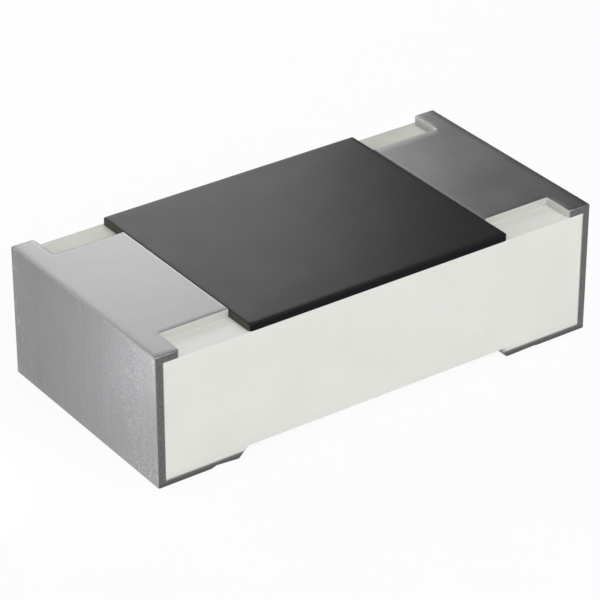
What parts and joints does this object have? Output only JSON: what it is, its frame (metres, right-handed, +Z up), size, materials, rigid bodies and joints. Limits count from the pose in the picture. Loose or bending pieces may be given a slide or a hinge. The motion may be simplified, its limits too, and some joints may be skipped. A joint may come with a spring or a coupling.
{
  "type": "smd chip resistor",
  "caption": "Rectangular surface-mount thick-film resistor: white alumina chip, black overcoat, and matte tin bands wrapped round both ends for soldering.",
  "frame": {"origin": "centre of the chip, the point that placing machines take hold of; the pads underneath are half the chip's height below it", "axes": "+X along the chip's length from the left end band to the right one, +Y across it, +Z up through the black overcoat"},
  "size_m": [0.0016, 0.0008, 0.0004],
  "materials": {
    "alumina": "fired matte white",
    "film": "fired ruthenium oxide paste",
    "glass": "fired glass",
    "overcoat": "semi-gloss black resin",
    "silver": "fired silver paste",
    "end_silver": "cured silver paste",
    "nickel": "plated nickel",
    "tin": "plated matte tin"
  },
  "bodies": {
    "root": {"ceramic_substrate": "alumina", "resistor_film": "film", "glass_coat": "glass", "overcoat": "overcoat", "top_conductor_left": "silver", "top_conductor_right": "silver", "bottom_conductor_left": "silver", "bottom_conductor_right": "silver", "end_electrode_left": "end_silver", "end_electrode_right": "end_silver", "nickel_barrier_left": "nickel", "nickel_barrier_right": "nickel", "tin_plating_left": "tin", "tin_plating_right": "tin"}
  },
  "joints": []
}
